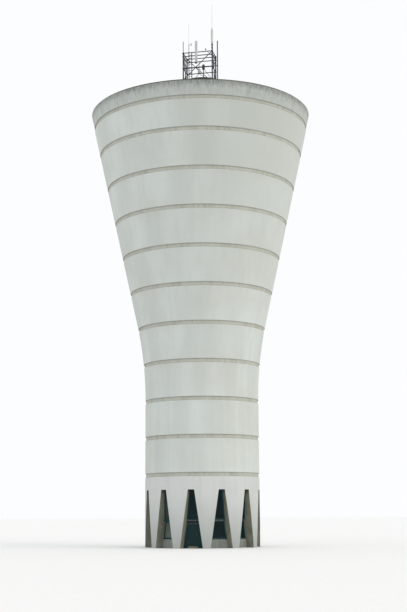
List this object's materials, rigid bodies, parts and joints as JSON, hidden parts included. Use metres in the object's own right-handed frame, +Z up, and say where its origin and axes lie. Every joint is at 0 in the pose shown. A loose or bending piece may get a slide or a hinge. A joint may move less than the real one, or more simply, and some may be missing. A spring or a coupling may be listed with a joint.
{
  "type": "water tower, 1:2 scale model",
  "caption": "Flared round concrete water tower on splayed legs, with glazed bays, a hinged entrance door, a ribbed wall, a low roof and a roof-top aerial frame.",
  "frame": {"origin": "centre of the tower's foot, on the ground plane", "axes": "+Z up along the tower's axis, -Y out through the entrance door, +X to the right seen from the front"},
  "size_m": [9.3356, 9.3356, 23.2],
  "materials": {
    "painted_concrete": "matt pale grey masonry paint with faint rain streaks",
    "weathered_concrete": "matt grey-green paint, streaked and stained by rain",
    "bare_concrete": "unpainted beige-grey concrete",
    "petrol_joinery": "satin dark petrol-blue paint with dark glass",
    "zinc_cover": "dull dark grey sheet metal",
    "frame_steel": "dull dark galvanised steel",
    "pale_plastic": "satin pale grey glass-fibre plastic",
    "black_plastic": "matt black plastic"
  },
  "bodies": {
    "tower": {"leg_01": "painted_concrete", "leg_02": "painted_concrete", "leg_03": "painted_concrete", "leg_04": "painted_concrete", "leg_05": "painted_concrete", "leg_06": "painted_concrete", "leg_07": "painted_concrete", "leg_08": "painted_concrete", "leg_09": "painted_concrete", "leg_10": "painted_concrete", "leg_11": "painted_concrete", "leg_12": "painted_concrete", "bay_screen_02": "petrol_joinery", "bay_screen_03": "petrol_joinery", "bay_screen_04": "petrol_joinery", "bay_screen_05": "petrol_joinery", "bay_screen_06": "petrol_joinery", "bay_screen_07": "petrol_joinery", "bay_screen_08": "petrol_joinery", "bay_screen_09": "petrol_joinery", "bay_screen_10": "petrol_joinery", "bay_screen_11": "petrol_joinery", "bay_screen_12": "petrol_joinery", "entrance_screen": "petrol_joinery", "head_ring": "painted_concrete", "wall_lift_01": "painted_concrete", "wall_lift_02": "painted_concrete", "wall_lift_03": "painted_concrete", "wall_lift_04": "painted_concrete", "wall_lift_05": "painted_concrete", "wall_lift_06": "painted_concrete", "wall_lift_07": "painted_concrete", "wall_lift_08": "painted_concrete", "wall_lift_09": "painted_concrete", "wall_lift_10": "painted_concrete", "rim_ring": "weathered_concrete", "rim_coping": "weathered_concrete", "roof_slab": "weathered_concrete", "roof_house_wall": "bare_concrete", "roof_house_slab": "zinc_cover", "ground_floor": "bare_concrete", "mast_front_side": "frame_steel", "mast_back_side": "frame_steel", "mast_left_side": "frame_steel", "mast_right_side": "frame_steel", "mast_ladder": "frame_steel", "panel_aerial": "pale_plastic", "stick_aerial_base": "black_plastic", "stick_aerial": "pale_plastic", "whip_aerial": "pale_plastic", "side_pole": "frame_steel", "warning_lamp": "black_plastic", "drum_aerial": "black_plastic", "relay_box": "pale_plastic"},
    "door_leaf": {"entrance_door": "petrol_joinery"}
  },
  "joints": [
    {"name": "entrance_door_swing", "type": "hinge", "parent": "tower", "child": "door_leaf", "pos_m": [-0.195, -1.996, 0.56], "axis": [0, 0, -1], "range_deg": [0, 95]}
  ]
}
